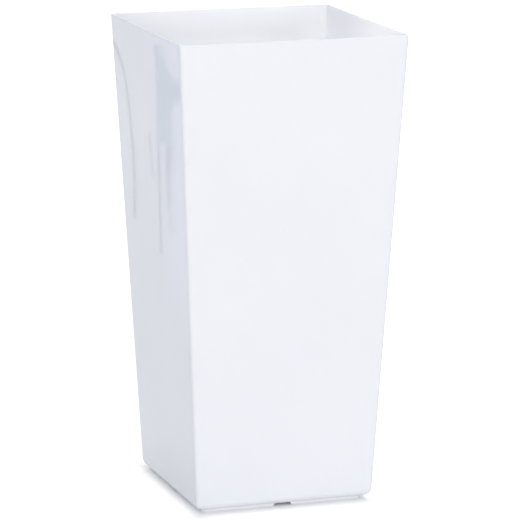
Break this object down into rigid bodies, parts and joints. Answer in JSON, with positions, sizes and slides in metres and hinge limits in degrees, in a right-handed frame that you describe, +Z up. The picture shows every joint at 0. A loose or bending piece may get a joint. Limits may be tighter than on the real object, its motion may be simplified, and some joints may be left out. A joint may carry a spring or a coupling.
{
  "type": "self-watering planter",
  "caption": "Tall tapered square planter with a lift-out liner that holds a water reservoir, wicking cups, a filling tube with a hinged lid and a float level gauge.",
  "frame": {"origin": "centre of the planter's footprint, on the floor that it stands on", "axes": "+Z up, -Y towards the front, which is the wide face in the picture, +X to the right of it"},
  "size_m": [0.2978, 0.2978, 0.6],
  "materials": {
    "shell_white": "high gloss moulded plastic",
    "liner_grey": "fine matt moulded plastic",
    "insert_grey": "fine matt moulded plastic",
    "plug_rubber": "soft matt rubber",
    "seal_rubber": "soft matt rubber",
    "pin_steel": "drawn stainless wire",
    "window_clear": "clear moulded plastic",
    "float_orange": "closed-cell foam",
    "rod_white": "extruded plastic",
    "pointer_red": "gloss moulded plastic"
  },
  "bodies": {
    "planter": {"outer_planter": "shell_white"},
    "planter_plug": {"planter_drain_plug": "plug_rubber", "planter_drain_gasket": "seal_rubber"},
    "liner": {"liner": "liner_grey", "separator": "insert_grey", "right_cup": "insert_grey", "back_cup": "insert_grey", "left_cup": "insert_grey", "front_cup": "insert_grey", "fill_tube": "liner_grey", "fill_collar": "insert_grey", "lid_hinge_pin": "pin_steel", "gauge_tube": "liner_grey", "gauge_rod_guide": "insert_grey", "gauge_window": "window_clear"},
    "liner_plug": {"liner_drain_plug": "plug_rubber", "liner_drain_gasket": "seal_rubber"},
    "left_handle": {"left_handle": "insert_grey"},
    "right_handle": {"right_handle": "insert_grey"},
    "fill_lid": {"fill_lid": "liner_grey"},
    "float": {"gauge_float": "float_orange", "gauge_rod": "rod_white", "gauge_pointer": "pointer_red"}
  },
  "joints": [
    {"name": "liner_lift", "type": "slide", "parent": "planter", "child": "liner", "axis": [0, 0, 1], "range_m": [0, 0.4]},
    {"name": "left_handle_pull", "type": "slide", "parent": "liner", "child": "left_handle", "axis": [0, 0, 1], "range_m": [0, 0.055]},
    {"name": "right_handle_pull", "type": "slide", "parent": "liner", "child": "right_handle", "axis": [0, 0, 1], "range_m": [0, 0.055]},
    {"name": "fill_lid_hinge", "type": "hinge", "parent": "liner", "child": "fill_lid", "pos_m": [-0.08378, 0.10903, 0.53725], "axis": [-1, 0, 0], "range_deg": [0, 110]},
    {"name": "float_rise", "type": "slide", "parent": "liner", "child": "float", "axis": [0, 0, 1], "range_m": [0, 0.04]},
    {"name": "planter_plug_pull", "type": "slide", "parent": "planter", "child": "planter_plug", "axis": [0, 0, 1], "range_m": [0, 0.04]},
    {"name": "liner_plug_pull", "type": "slide", "parent": "liner", "child": "liner_plug", "axis": [0, 0, -1], "range_m": [0, 0.03]}
  ]
}
